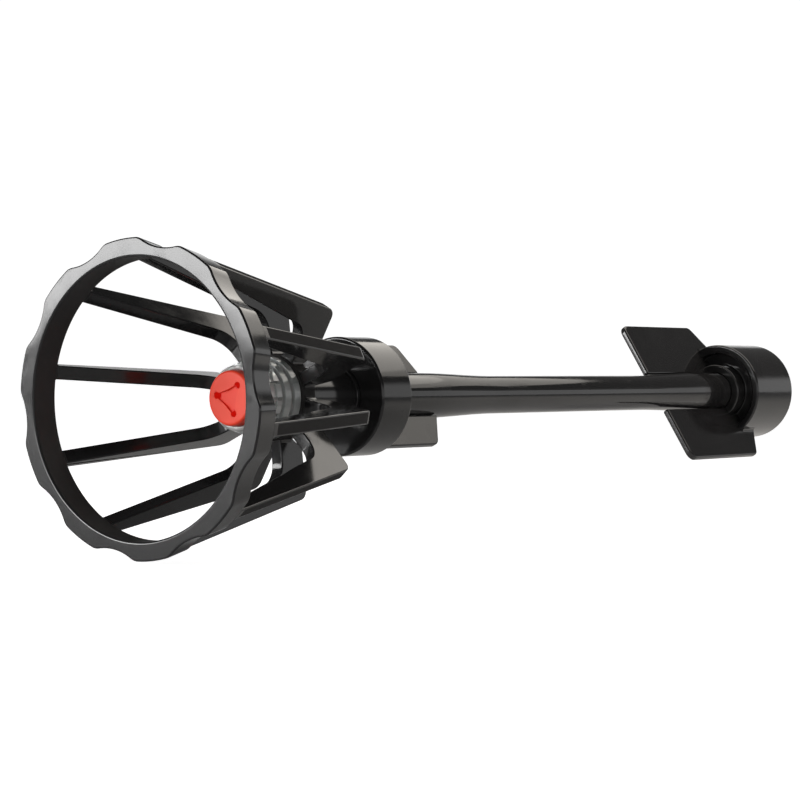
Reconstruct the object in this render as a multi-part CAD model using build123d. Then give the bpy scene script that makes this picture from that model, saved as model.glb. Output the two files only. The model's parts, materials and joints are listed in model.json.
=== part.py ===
from build123d import *
import math
import os

# Caged rotary spray lance. Sizes are in millimetres.
# A station is a distance along the lance's axis, counted from the cage mouth towards the hose.
# Each piece is drawn round the Z axis with its station as height, and place() lays it into the row frame:
# the axis along Y, the first full turn of the hose thread at the origin, the cage towards -Y, up towards +Z.

# ------------------------------------------------------------------ overall
overall_length = 401.0

# ------------------------------------------------------------------ clearances and small details
swivel_clearance = 0.08
side_clearance = 0.35
wing_to_tube_gap = 0.4
rotor_side_gap = 0.3
seat_gap = 0.05
edge_round = 0.8
small_round = 0.4
root_sink = 0.5
cut_past = 1.0
pick_tolerance = 0.01

# ------------------------------------------------------------------ guard cage
rim_depth = 10.0
rim_crest_radius = 50.7
rim_inner_radius = 44.4
lobe_count = 10
first_lobe_angle = -9.7
crest_half_angle = 8.5
flute_depth = 2.4
lobe_corner_round = 2.5
cage_rear_station = 77.4
cage_rear_radius = 34.2
cage_corner_round = 3.5
rib_thickness = 4.6
rib_bend_radius_from_axis = 27.2
rib_bend_round = 8.0
web_front_station = 66.0
web_root_flare = 3.0

# ------------------------------------------------------------------ hub
hub_ring_front = 65.0
hub_ring_length = 7.0
hub_ring_radius = 14.4
sleeve_radius = 10.3
sleeve_bead_radius = 11.0
sleeve_bead_length = 1.6
thread_spigot_radius = 10.48
hub_water_radius = 6.0
hub_socket_radius = 8.6
hub_socket_depth = 13.0

# ------------------------------------------------------------------ clear nozzle housing
housing_front = 48.0
housing_mouth_radius = 10.7
housing_base_radius = 13.9
housing_tail_length = 12.0
housing_tail_bore = 7.0
# each band: where it starts and ends as a share of the length, and how far it stands out towards the base
housing_bands = [
    (0.00, 0.20, 0.00),
    (0.20, 0.38, 0.30),
    (0.38, 0.54, 0.52),
    (0.54, 0.59, 0.30),
    (0.59, 0.76, 0.74),
    (0.76, 0.81, 0.55),
    (0.81, 1.00, 1.00),
]
housing_slot_count = 14
housing_slot_width = 1.1
housing_slot_reach = 2.0
housing_slot_sink = -0.1
housing_slot_start_share = 0.20
housing_slot_end_share = 0.54
rotor_rear_room = 1.5
o_ring_section = 0.85
housing_seal_radius = 11.6

# ------------------------------------------------------------------ rotor
rotor_front = 44.8
rotor_radius = 9.1
rotor_length = 11.0
rotor_face_thickness = 4.0
rotor_wall = 1.3
rotor_boss_radius = 3.2
rotor_boss_inset = 2.0
jet_count = 3
jet_radius = 1.2
jet_circle_radius = 5.4
first_jet_angle = 51.6
jet_recess_depth = 0.9
jet_recess_margin = 0.9
jet_recess_pinch = 0.8
shaft_radius = 1.5
shaft_blind_depth = 3.0
turbine_front = 60.0
turbine_length = 4.0
turbine_radius = 6.2
turbine_hub_radius = 2.8
turbine_blade_count = 6
blade_thickness = 0.9
blade_root_sink = 0.3
blade_slant = 35.0

# ------------------------------------------------------------------ flow guide and shaft end
guide_front = 65.2
guide_length = 7.0
guide_ring_wall = 0.9
guide_boss_radius = 3.4
guide_vane_count = 5
bush_wall = 0.9
bush_flange_radius = 3.0
bush_flange_thickness = 0.6
thrust_washer_thickness = 0.6
thrust_washer_radius = 3.2
clip_thickness = 0.8
clip_radius = 3.0
clip_groove_depth = 0.4
clip_gap = 2.75
axial_play = 0.15
shaft_end_length = 1.2

# ------------------------------------------------------------------ tube
tube_radius = 7.05
tube_end_radius = 8.2
tube_bore_radius = 5.2
front_taper_start = 157.0
front_taper_end = 192.0
rear_taper_start_from_end = 96.0
rear_taper_end_from_end = 52.0
taper_round = 40.0
tube_neck_radius = 7.2

# ------------------------------------------------------------------ front wing nut
front_nut_front = 101.0
front_nut_length = 16.8
front_nut_radius = 20.7
front_nut_lip = 2.6
ear_tip_inset = 0.5
ear_tip_station = 147.4
ear_root_station = 154.0
ear_thickness = 2.4
ear_corner_round = 3.5
front_wing_angle = -60.5

# ------------------------------------------------------------------ rear wing nut
rear_nut_length = 32.2
rear_nut_radius = 20.2
rear_nut_bevel_radius = 17.8
rear_nut_bevel_depth = 0.9
rear_nut_recess_radius = 16.6
rear_nut_recess_depth = 4.5
rear_nut_boss_radius = 11.7
rear_nut_boss_height = 2.0
rear_nut_wall_depth = 10.0
wing_tip_radius = 32.3
wing_front_from_end = 84.0
wing_tip_rear_from_end = 28.6
wing_root_rear_from_end = 19.8
wing_thickness = 2.7
wing_corner_round = 3.5
rear_wing_angle = -57.0
hose_thread_radius = 12.06
hose_thread_length = 12.0
hose_thread_relief_radius = 12.7
hose_mouth_chamfer = 0.8

# ------------------------------------------------------------------ flanges, washers and seals
front_flange_radius = 10.2
front_flange_thickness = 2.6
rear_flange_radius = 11.8
rear_flange_thickness = 4.0
slip_washer_thickness = 0.8
front_seal_thickness = 1.6
front_seal_inset = 0.4
inlet_washer_thickness = 2.8
inlet_washer_bore = 8.2
screen_thickness = 0.6
screen_hole_radius = 0.55
screen_hole_pitch = 1.75
screen_rings = 4
tube_o_ring_section = 0.6

# ------------------------------------------------------------------ sizes that follow
shell_slope = (rim_crest_radius - cage_rear_radius) / cage_rear_station
rim_rear_crest_radius = rim_crest_radius - shell_slope * rim_depth
rim_rear_scale = rim_rear_crest_radius / rim_crest_radius
lobe_pitch = 360.0 / lobe_count
hub_ring_rear = hub_ring_front + hub_ring_length
sleeve_end = front_nut_front
housing_base_station = hub_ring_front
housing_bore_radius = rotor_radius + rotor_side_gap
rotor_rear = rotor_front + rotor_length
guide_rear = guide_front + guide_length
guide_radius = housing_tail_bore - seat_gap
bush_bore_radius = shaft_radius + swivel_clearance
bush_radius = bush_bore_radius + bush_wall
bush_rear = guide_rear + bush_flange_thickness
washer_front = bush_rear + axial_play
clip_front = washer_front + thrust_washer_thickness + seat_gap
shaft_rear = clip_front + clip_thickness + shaft_end_length
shaft_front = rotor_front + shaft_blind_depth

front_nut_rear = front_nut_front + front_nut_length
front_lip_face = front_nut_rear - front_nut_lip
front_washer_front = front_lip_face - axial_play - slip_washer_thickness
front_flange_front = front_washer_front - front_flange_thickness
front_seal_front = front_flange_front - front_seal_thickness
spigot_rear = front_seal_front
tube_front_shoulder = front_flange_front + front_flange_thickness

rear_nut_front = overall_length - rear_nut_length
rear_wall_face = rear_nut_front + rear_nut_wall_depth
rear_washer_front = rear_wall_face + axial_play
rear_flange_front = rear_washer_front + slip_washer_thickness + axial_play
rear_flange_rear = rear_flange_front + rear_flange_thickness
inlet_washer_rear = rear_flange_rear + inlet_washer_thickness
thread_front = overall_length - hose_thread_length
tube_swivel_radius = tube_end_radius + swivel_clearance
origin_station = overall_length - hose_mouth_chamfer


# ------------------------------------------------------------------ drawing helpers
def turned(*outline):
    """A solid of revolution; the outline is (radius, station) points."""
    face = make_face(Polyline(*outline, close=True))
    return revolve(Plane.XZ * face, Axis.Z)


def sleeve(outer, inner, start, end):
    """A plain ring between two stations."""
    return turned((inner, start), (outer, start), (outer, end), (inner, end))


def rod(radius, start, end):
    """A plain round rod between two stations."""
    return turned((0, start), (radius, start), (radius, end), (0, end))


def plate(outline, rounds, thickness, angle):
    """A flat plate through the axis, at an angle from +X towards +Z; the outline is (radius, station)."""
    face = make_face(FilletPolyline(*outline, radius=rounds, close=True))
    flat = extrude(Plane.XZ * face, amount=thickness / 2, both=True)
    return Rot(0, 0, -angle) * flat


def polar(radius, angle):
    """A point at an angle from +X towards +Z, seen along the axis."""
    turn = math.radians(-angle)
    return (radius * math.cos(turn), radius * math.sin(turn))


def torus(major, section, station):
    """An O-ring lying round the axis."""
    return Pos(0, 0, station) * Torus(major, section)


def rounded(part, radius, keep):
    """The part with the edges that keep() picks rounded off."""
    return fillet([edge for edge in part.edges() if keep(edge)], radius)


def is_circle_at(radius, station):
    """Picks the full circles of a radius at a station."""
    def keep(edge):
        centre = edge.center(CenterOf.BOUNDING_BOX)
        if edge.geom_type != GeomType.CIRCLE:
            return False
        on_circle = abs(edge.radius - radius) < pick_tolerance
        return on_circle and abs(centre.Z - station) < pick_tolerance
    return keep


def place(shape):
    """Lays a piece into the row frame: axis along Y, the hose thread's first full turn at the origin."""
    return Pos(0, -origin_station, 0) * Rot(-90, 0, 0) * shape


def save(name, *solids):
    """Writes one node; a node with several identical pieces holds them as separate solids."""
    placed = [place(solid) for solid in solids]
    node = placed[0] if len(placed) == 1 else Compound(children=placed)
    export_step(node, f"parts/{name}.step")


# ------------------------------------------------------------------ guard cage
def lobed_face(scale, station):
    """The rim's outer outline: crests on a circle, joined by hollow flutes."""
    crest = rim_crest_radius * scale
    valley = (rim_crest_radius - flute_depth) * scale
    edges = []
    for lobe in range(lobe_count):
        middle = first_lobe_angle + lobe * lobe_pitch
        start = polar(crest, middle - crest_half_angle)
        top = polar(crest, middle)
        end = polar(crest, middle + crest_half_angle)
        dip = polar(valley, middle + lobe_pitch / 2)
        next_start = polar(crest, middle + lobe_pitch - crest_half_angle)
        edges.append(ThreePointArc(start, top, end))
        edges.append(ThreePointArc(end, dip, next_start))
    outline = make_face(edges)
    outline = fillet(outline.vertices(), lobe_corner_round)
    return Pos(0, 0, station) * outline


def cage_rim():
    front = lobed_face(1.0, 0.0)
    rear = lobed_face(rim_rear_scale, rim_depth)
    body = loft([front, rear], ruled=True)
    opening = rod(rim_inner_radius, -cut_past, rim_depth + cut_past)
    rim = body - opening
    inner_front = is_circle_at(rim_inner_radius, 0.0)
    rim = rounded(rim, edge_round, inner_front)
    outer_front = [edge for edge in rim.edges() if abs(edge.bounding_box().max.Z) < pick_tolerance]
    outer_front = [edge for edge in outer_front if edge.center().length > rim_inner_radius + 2 * edge_round]
    return chamfer(outer_front, small_round)


def cage_rib(angle):
    """One rib: a bar from the rim, then a web down to the hub ring."""
    outline = [
        (rim_rear_crest_radius, rim_depth),
        (cage_rear_radius, cage_rear_station),
        (hub_ring_radius + web_root_flare, cage_rear_station),
        (hub_ring_radius - root_sink, hub_ring_rear + root_sink),
        (hub_ring_radius - root_sink, web_front_station),
        (rib_bend_radius_from_axis, web_front_station),
        (rim_inner_radius, rim_depth),
    ]
    rounds = [0, cage_corner_round, small_round, 0, 0, rib_bend_round, 0]
    rib = plate(outline, rounds, rib_thickness, 0.0)
    rib = rib - rod(hub_ring_radius, hub_ring_front - cut_past, hub_ring_rear + cut_past)
    long_edges = [e for e in rib.edges() if abs(e.bounding_box().size.Y) < pick_tolerance]
    free = [e for e in long_edges if e.center().Z > rim_depth + small_round]
    free = [e for e in free if e.center().X > hub_ring_radius + web_root_flare + small_round]
    rib = fillet(free, small_round)
    return Rot(0, 0, -angle) * rib


def cage_ribs():
    return [cage_rib(first_lobe_angle + n * lobe_pitch) for n in range(lobe_count)]


def cage_hub():
    """Hub ring, sleeve with its bead, and the spigot that the front wing nut holds."""
    bead_start = sleeve_end - sleeve_bead_length - axial_play
    bead_end = bead_start + sleeve_bead_length
    hub = turned(
        (hub_socket_radius, hub_ring_front),
        (hub_ring_radius, hub_ring_front),
        (hub_ring_radius, hub_ring_rear),
        (sleeve_radius, hub_ring_rear),
        (sleeve_radius, bead_start),
        (sleeve_bead_radius, bead_start),
        (sleeve_bead_radius, bead_end),
        (thread_spigot_radius, bead_end),
        (thread_spigot_radius, spigot_rear),
        (hub_water_radius, spigot_rear),
        (hub_water_radius, hub_ring_front + hub_socket_depth),
        (hub_socket_radius, hub_ring_front + hub_socket_depth),
    )
    groove_depth = 2 * o_ring_section
    groove = sleeve(
        housing_seal_radius + o_ring_section + seat_gap,
        housing_seal_radius - o_ring_section - seat_gap,
        hub_ring_front - cut_past,
        hub_ring_front + groove_depth,
    )
    hub = hub - groove
    return rounded(hub, small_round, is_circle_at(hub_ring_radius, hub_ring_rear))


# ------------------------------------------------------------------ clear nozzle housing
def nozzle_housing():
    """Clear stepped housing; its front bands are cut by slots, and its tail fits the hub."""
    length = housing_base_station - housing_front
    spread = housing_base_radius - housing_mouth_radius
    outline = [(housing_bore_radius, housing_front)]
    for start, end, share in housing_bands:
        radius = housing_mouth_radius + spread * share
        outline.append((radius, housing_front + length * start))
        outline.append((radius, housing_front + length * end))
    tail_radius = hub_socket_radius - seat_gap
    tail_end = housing_base_station + housing_tail_length
    outline.append((tail_radius, housing_base_station))
    outline.append((tail_radius, tail_end))
    outline.append((housing_tail_bore, tail_end))
    outline.append((housing_tail_bore, rotor_rear + rotor_rear_room))
    outline.append((housing_bore_radius, rotor_rear + rotor_rear_room))
    housing = turned(*outline)
    slot_start = housing_front + length * housing_slot_start_share
    slot_end = housing_front + length * housing_slot_end_share
    slot_middle = (slot_start + slot_end) / 2
    for n in range(housing_slot_count):
        angle = n * 360 / housing_slot_count
        slot = Box(2 * housing_slot_reach, housing_slot_width, slot_end - slot_start)
        slot = Pos(housing_mouth_radius + housing_slot_sink + housing_slot_reach, 0, slot_middle) * slot
        housing = housing - Rot(0, 0, angle) * slot
    return housing


def housing_o_ring():
    return torus(housing_seal_radius, o_ring_section, hub_ring_front + o_ring_section)


# ------------------------------------------------------------------ rotor
def jet_recess():
    """Three-sided recess with hollow sides that joins the jets."""
    corner = jet_circle_radius + jet_recess_margin
    waist = jet_circle_radius / 2 - jet_recess_pinch / 2
    edges = []
    for n in range(jet_count):
        angle = first_jet_angle + n * 360 / jet_count
        here = polar(corner, angle)
        dip = polar(waist, angle + 180 / jet_count)
        following = polar(corner, angle + 360 / jet_count)
        edges.append(ThreePointArc(here, dip, following))
    face = make_face(edges)
    return Pos(0, 0, rotor_front) * extrude(face, amount=jet_recess_depth)


def jet_rotor():
    face_rear = rotor_front + rotor_face_thickness
    cup = turned(
        (0, rotor_front),
        (rotor_radius - edge_round, rotor_front),
        (rotor_radius, rotor_front + edge_round),
        (rotor_radius, rotor_rear),
        (rotor_radius - rotor_wall, rotor_rear),
        (rotor_radius - rotor_wall, face_rear),
        (rotor_boss_radius, face_rear),
        (rotor_boss_radius, rotor_rear - rotor_boss_inset),
        (0, rotor_rear - rotor_boss_inset),
    )
    cup = cup - jet_recess()
    cup = cup - rod(shaft_radius, shaft_front, rotor_rear)
    for n in range(jet_count):
        x, y = polar(jet_circle_radius, first_jet_angle + n * 360 / jet_count)
        jet = Pos(x, y, rotor_front) * Cylinder(jet_radius, 4 * rotor_face_thickness)
        cup = cup - jet
    return cup


def rotor_shaft():
    """Stainless pin with the groove that the clip sits in."""
    shaft = rod(shaft_radius, shaft_front, shaft_rear)
    groove = sleeve(
        shaft_radius + cut_past,
        shaft_radius - clip_groove_depth,
        clip_front,
        clip_front + clip_thickness,
    )
    return shaft - groove


def drive_turbine():
    """Small wheel of slanted blades on the shaft."""
    middle = turbine_front + turbine_length / 2
    wheel = sleeve(turbine_hub_radius, shaft_radius, turbine_front, turbine_front + turbine_length)
    reach = turbine_radius - shaft_radius
    blade = Box(reach, blade_thickness, 3 * turbine_length)
    blade = Pos(shaft_radius + blade_root_sink + reach / 2, 0, middle) * Rot(blade_slant, 0, 0) * blade
    clear_of_shaft = shaft_radius + blade_root_sink
    keep = sleeve(turbine_radius, clear_of_shaft, turbine_front, turbine_front + turbine_length)
    blade = blade & keep
    for n in range(turbine_blade_count):
        wheel = wheel + Rot(0, 0, n * 360 / turbine_blade_count) * blade
    return wheel


def flow_guide():
    """Fixed ring of vanes slanted against the turbine, with the bush in its boss."""
    middle = guide_front + guide_length / 2
    inner = guide_radius - guide_ring_wall
    guide = sleeve(guide_radius, inner, guide_front, guide_rear)
    guide = guide + sleeve(guide_boss_radius, bush_radius, guide_front, guide_rear)
    reach = inner - guide_boss_radius + 2 * blade_root_sink
    vane = Box(reach, blade_thickness, 3 * guide_length)
    vane_root = guide_boss_radius - blade_root_sink
    vane = Pos(vane_root + reach / 2, 0, middle) * Rot(-blade_slant, 0, 0) * vane
    keep = sleeve(inner + blade_root_sink, vane_root, guide_front, guide_rear)
    vane = vane & keep
    for n in range(guide_vane_count):
        guide = guide + Rot(0, 0, n * 360 / guide_vane_count) * vane
    return guide


def rotor_bush():
    return turned(
        (bush_bore_radius, guide_front),
        (bush_radius, guide_front),
        (bush_radius, guide_rear),
        (bush_flange_radius, guide_rear),
        (bush_flange_radius, bush_rear),
        (bush_bore_radius, bush_rear),
    )


def thrust_washer():
    washer_rear = washer_front + thrust_washer_thickness
    return sleeve(thrust_washer_radius, bush_bore_radius, washer_front, washer_rear)


def shaft_clip():
    """Open spring clip in the shaft's groove."""
    clip = sleeve(
        clip_radius,
        shaft_radius - clip_groove_depth,
        clip_front,
        clip_front + clip_thickness,
    )
    gap = Box(2 * clip_radius, clip_gap, 3 * clip_thickness)
    return clip - Pos(clip_radius, 0, clip_front + clip_thickness / 2) * gap


# ------------------------------------------------------------------ tube and what is on its ends
def lance_tube():
    """Tube with thicker ends, and a neck at each end for the flange."""
    rear_start = overall_length - rear_taper_start_from_end
    rear_end = overall_length - rear_taper_end_from_end
    outline = [
        (tube_bore_radius, front_flange_front),
        (tube_neck_radius, front_flange_front),
        (tube_neck_radius, tube_front_shoulder),
        (tube_end_radius, tube_front_shoulder),
        (tube_end_radius, front_taper_start),
        (tube_radius, front_taper_end),
        (tube_radius, rear_start),
        (tube_end_radius, rear_end),
        (tube_end_radius, rear_flange_front),
        (tube_neck_radius, rear_flange_front),
        (tube_neck_radius, rear_flange_rear),
        (tube_bore_radius, rear_flange_rear),
    ]
    rounds = [0, 0, 0, 0, taper_round, taper_round, taper_round, taper_round, 0, 0, 0, 0]
    face = make_face(FilletPolyline(*outline, radius=rounds, close=True))
    tube = revolve(Plane.XZ * face, Axis.Z)
    groove_depth = 2 * tube_o_ring_section
    for station in (front_o_ring_station(), rear_o_ring_station()):
        groove = sleeve(
            tube_neck_radius + cut_past,
            tube_neck_radius - groove_depth,
            station - tube_o_ring_section - seat_gap,
            station + tube_o_ring_section + seat_gap,
        )
        tube = tube - groove
    return tube


def front_o_ring_station():
    return front_flange_front + front_flange_thickness / 2


def rear_o_ring_station():
    return rear_flange_front + rear_flange_thickness / 2


def neck_o_ring(station):
    return torus(tube_neck_radius - tube_o_ring_section, tube_o_ring_section, station)


def front_flange():
    end = front_flange_front + front_flange_thickness
    return sleeve(front_flange_radius, tube_neck_radius, front_flange_front, end)


def rear_flange():
    return sleeve(rear_flange_radius, tube_neck_radius, rear_flange_front, rear_flange_rear)


def front_seal():
    outer = front_flange_radius - front_seal_inset
    return sleeve(outer, hub_water_radius, front_seal_front, front_flange_front)


def front_slip_washer():
    end = front_washer_front + slip_washer_thickness
    return sleeve(front_flange_radius, tube_swivel_radius, front_washer_front + seat_gap, end)


def rear_slip_washer():
    end = rear_washer_front + slip_washer_thickness
    return sleeve(rear_flange_radius, tube_swivel_radius, rear_washer_front, end)


# ------------------------------------------------------------------ wing nuts
def front_wing_nut():
    """Collar that is closed round the tube behind, open to the spigot in front, with two ears."""
    bore = thread_spigot_radius + swivel_clearance
    collar = turned(
        (bore, front_nut_front),
        (front_nut_radius, front_nut_front),
        (front_nut_radius, front_nut_rear),
        (tube_swivel_radius, front_nut_rear),
        (tube_swivel_radius, front_lip_face),
        (bore, front_lip_face),
    )
    collar = rounded(collar, edge_round, is_circle_at(front_nut_radius, front_nut_front))
    collar = rounded(collar, edge_round, is_circle_at(front_nut_radius, front_nut_rear))
    root = tube_end_radius + wing_to_tube_gap
    ear_tip_radius = front_nut_radius - ear_tip_inset
    ear_start = front_nut_rear - edge_round - root_sink
    outline = [
        (root, ear_start),
        (ear_tip_radius, ear_start),
        (ear_tip_radius, ear_tip_station),
        (root, ear_root_station),
    ]
    rounds = [0, 0, ear_corner_round, 0]
    ear = plate(outline, rounds, ear_thickness, 0.0)
    outer = [e for e in ear.edges() if abs(e.bounding_box().size.Y) < pick_tolerance]
    outer = [e for e in outer if e.center().Z > front_nut_rear]
    ear = fillet(outer, small_round)
    for angle in (front_wing_angle, front_wing_angle + 180):
        collar = collar + Rot(0, 0, -angle) * ear
    return collar


def rear_wing_nut():
    """Hose nut: plain cylinder, recessed front with a boss round the tube, and two wings."""
    boss_front = rear_nut_front - rear_nut_boss_height
    recess_floor = rear_nut_front + rear_nut_recess_depth
    nut = turned(
        (tube_swivel_radius, boss_front),
        (rear_nut_boss_radius, boss_front),
        (rear_nut_boss_radius, recess_floor),
        (rear_nut_recess_radius, recess_floor),
        (rear_nut_recess_radius, rear_nut_front + rear_nut_bevel_depth),
        (rear_nut_bevel_radius, rear_nut_front),
        (rear_nut_radius, rear_nut_front),
        (rear_nut_radius, overall_length),
        (hose_thread_radius + hose_mouth_chamfer, overall_length),
        (hose_thread_radius, overall_length - hose_mouth_chamfer),
        (hose_thread_radius, thread_front),
        (hose_thread_relief_radius, thread_front),
        (hose_thread_relief_radius, rear_wall_face),
        (tube_swivel_radius, rear_wall_face),
    )
    nut = rounded(nut, edge_round, is_circle_at(rear_nut_radius, rear_nut_front))
    nut = rounded(nut, 2 * edge_round, is_circle_at(rear_nut_radius, overall_length))
    nut = rounded(nut, edge_round, is_circle_at(rear_nut_boss_radius, boss_front))
    root = tube_end_radius + wing_to_tube_gap
    wing_front = overall_length - wing_front_from_end
    wing_root_end = (recess_floor + rear_wall_face) / 2
    outline = [
        (root, wing_front),
        (wing_tip_radius, wing_front),
        (wing_tip_radius, overall_length - wing_tip_rear_from_end),
        (rear_nut_radius - root_sink, overall_length - wing_root_rear_from_end),
        (rear_nut_recess_radius - root_sink, wing_root_end),
        (root, wing_root_end),
    ]
    rounds = [edge_round, wing_corner_round, wing_corner_round, 0, 0, 0]
    wing = plate(outline, rounds, wing_thickness, 0.0)
    outer = [e for e in wing.edges() if abs(e.bounding_box().size.Y) < pick_tolerance]
    outer = [e for e in outer if e.center().X > rear_nut_radius or e.center().Z < wing_front + edge_round]
    wing = fillet(outer, edge_round)
    for angle in (rear_wing_angle, rear_wing_angle + 180):
        nut = nut + Rot(0, 0, -angle) * wing
    return nut


def inlet_washer():
    outer = hose_thread_radius - side_clearance
    return sleeve(outer, inlet_washer_bore, rear_flange_rear + seat_gap, inlet_washer_rear)


def inlet_screen():
    """Stainless disc with rings of small holes, lying on the washer."""
    rear = inlet_washer_rear + screen_thickness
    disc = rod(hose_thread_radius - side_clearance, inlet_washer_rear, rear)
    for ring in range(screen_rings + 1):
        count = max(1, 6 * ring)
        for n in range(count):
            x, y = polar(ring * screen_hole_pitch, n * 360 / count)
            disc = disc - Pos(x, y, rear) * Cylinder(screen_hole_radius, 4 * screen_thickness)
    return disc


# ------------------------------------------------------------------ write the nodes
os.makedirs("parts", exist_ok=True)

save("cage_rim", cage_rim())
save("cage_ribs", *cage_ribs())
save("cage_hub", cage_hub())
save("nozzle_housing", nozzle_housing())
save("housing_o_ring", housing_o_ring())
save("jet_rotor", jet_rotor())
save("rotor_shaft", rotor_shaft())
save("drive_turbine", drive_turbine())
save("flow_guide", flow_guide())
save("rotor_bush", rotor_bush())
save("thrust_washer", thrust_washer())
save("shaft_clip", shaft_clip())
save("front_wing_nut", front_wing_nut())
save("front_slip_washer", front_slip_washer())
save("front_seal", front_seal())
save("front_flange", front_flange())
save("front_tube_o_ring", neck_o_ring(front_o_ring_station()))
save("lance_tube", lance_tube())
save("rear_tube_o_ring", neck_o_ring(rear_o_ring_station()))
save("rear_flange", rear_flange())
save("rear_slip_washer", rear_slip_washer())
save("rear_wing_nut", rear_wing_nut())
save("inlet_washer", inlet_washer())
save("inlet_screen", inlet_screen())
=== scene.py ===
# %% [markdown]
# # A caged spray lance, finished in Blender
#
# The design of this lance comes in ready made: every part, size and joint is already fixed. What is left
# is the finish. A moulded plastic part is never as sharp as its drawing: it has rounded edges, small
# fillets where a rib meets a ring, and a skin that is glossy but a little wavy. So each part that shows is
# built again here as a finer mesh in exactly the same place, and then gets its plastic, rubber or steel.
#
# The first cell loads the design as a fixed frame and keeps the size of its box.

# %% Load the frame
import bpy
import bmesh
import json
import math
from mathutils import Matrix, Vector


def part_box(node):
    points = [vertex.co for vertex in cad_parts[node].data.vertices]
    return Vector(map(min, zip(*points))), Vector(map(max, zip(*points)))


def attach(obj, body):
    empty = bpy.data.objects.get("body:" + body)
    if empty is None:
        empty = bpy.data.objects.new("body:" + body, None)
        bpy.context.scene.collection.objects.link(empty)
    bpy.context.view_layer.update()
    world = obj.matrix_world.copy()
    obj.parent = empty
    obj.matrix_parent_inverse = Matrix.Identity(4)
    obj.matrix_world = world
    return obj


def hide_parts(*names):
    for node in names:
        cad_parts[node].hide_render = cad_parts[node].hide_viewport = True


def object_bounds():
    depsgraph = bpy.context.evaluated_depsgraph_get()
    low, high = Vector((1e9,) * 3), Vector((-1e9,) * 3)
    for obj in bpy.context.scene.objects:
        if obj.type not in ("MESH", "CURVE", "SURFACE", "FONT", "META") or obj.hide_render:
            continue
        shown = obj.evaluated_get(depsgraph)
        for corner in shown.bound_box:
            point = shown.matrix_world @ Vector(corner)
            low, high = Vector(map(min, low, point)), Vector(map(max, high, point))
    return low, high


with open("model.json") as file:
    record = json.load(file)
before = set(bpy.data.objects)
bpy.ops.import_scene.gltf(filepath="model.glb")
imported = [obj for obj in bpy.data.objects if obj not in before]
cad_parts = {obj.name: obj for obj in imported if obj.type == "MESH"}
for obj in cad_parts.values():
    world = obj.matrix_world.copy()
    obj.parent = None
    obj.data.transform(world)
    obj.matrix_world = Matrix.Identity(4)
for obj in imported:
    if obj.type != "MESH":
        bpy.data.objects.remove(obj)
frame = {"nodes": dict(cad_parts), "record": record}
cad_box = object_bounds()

mm = 0.001

# %% [markdown]
# ## Where things are
#
# Everything sits on one axis, along Y. It helps to speak of stations: the distance in millimetres from the
# mouth of the cage, or from the hose end. Both ends are read off the design's own parts, and every place
# below is counted from one of them.

# %% Stations from the frame
mouth_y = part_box("cage_rim")[0].y
hose_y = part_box("rear_wing_nut")[1].y


def at(station):
    """Y of a station counted from the cage mouth, in millimetres."""
    return mouth_y + station * mm


def before_end(distance):
    """Y of a place counted back from the hose end, in millimetres."""
    return hose_y - distance * mm


end_station = (hose_y - mouth_y) / mm
print("length", round(end_station, 1), "mm")

# %% [markdown]
# ## Three ways to make a mesh
#
# Nearly all of this lance is either turned or flat. A turned part can be made with Blender's Screw
# modifier, but building the rings of vertices directly lets the radius change with the angle too, which
# the rim's hollows, the tube's mould line and the hose thread all need. A flat part is an outline with
# a thickness; its edges are rolled over in a quarter circle, because a sharp edge catches no light. The
# third way is a bar between two matching outlines, for fillets and for what is cut out.

# %% Rounded outlines
def rounded(corners, steps=6):
    """A closed outline from (u, v, round) corners in metres; each corner becomes an arc of that radius."""
    points = []
    count = len(corners)
    for i, (u, v, radius) in enumerate(corners):
        here = Vector((u, v))
        back = Vector(corners[i - 1][:2]) - here
        ahead = Vector(corners[(i + 1) % count][:2]) - here
        if radius <= 0:
            points.append(here)
            continue
        turn = back.angle(ahead)
        reach = min(radius / math.tan(turn / 2), 0.49 * back.length, 0.49 * ahead.length)
        radius = reach * math.tan(turn / 2)
        start = here + back.normalized() * reach
        end = here + ahead.normalized() * reach
        inward = (back.normalized() + ahead.normalized()).normalized()
        middle = here + inward * (radius / math.sin(turn / 2))
        first = start - middle
        sweep = first.angle_signed(end - middle)
        for k in range(steps + 1):
            share = k / steps
            spoke = first.copy()
            spoke.rotate(Matrix.Rotation(-sweep * share, 2))
            points.append(middle + spoke)
    return points


square = rounded([(0, 0, 0.2), (1, 0, 0.2), (1, 1, 0.2), (0, 1, 0.2)])
print("a rounded square has", len(square), "points")


# %% Closed solids from rings of points
def mesh_object(name, verts, faces):
    """An object from vertices and faces, with its normals turned outwards."""
    mesh = bpy.data.meshes.new(name)
    mesh.from_pydata(verts, [], faces)
    built = bmesh.new()
    built.from_mesh(mesh)
    bmesh.ops.remove_doubles(built, verts=built.verts, dist=1e-7)
    bmesh.ops.recalc_face_normals(built, faces=built.faces)
    built.to_mesh(mesh)
    built.free()
    piece = bpy.data.objects.new(name, mesh)
    bpy.context.scene.collection.objects.link(piece)
    return piece


def bar(name, near_end, far_end):
    """A closed bar between two outlines with the same number of points."""
    count = len(near_end)
    faces = [(i, (i + 1) % count, count + (i + 1) % count, count + i) for i in range(count)]
    faces.append(tuple(range(count)))
    faces.append(tuple(count + i for i in range(count)))
    return mesh_object(name, near_end + far_end, faces)


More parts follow.
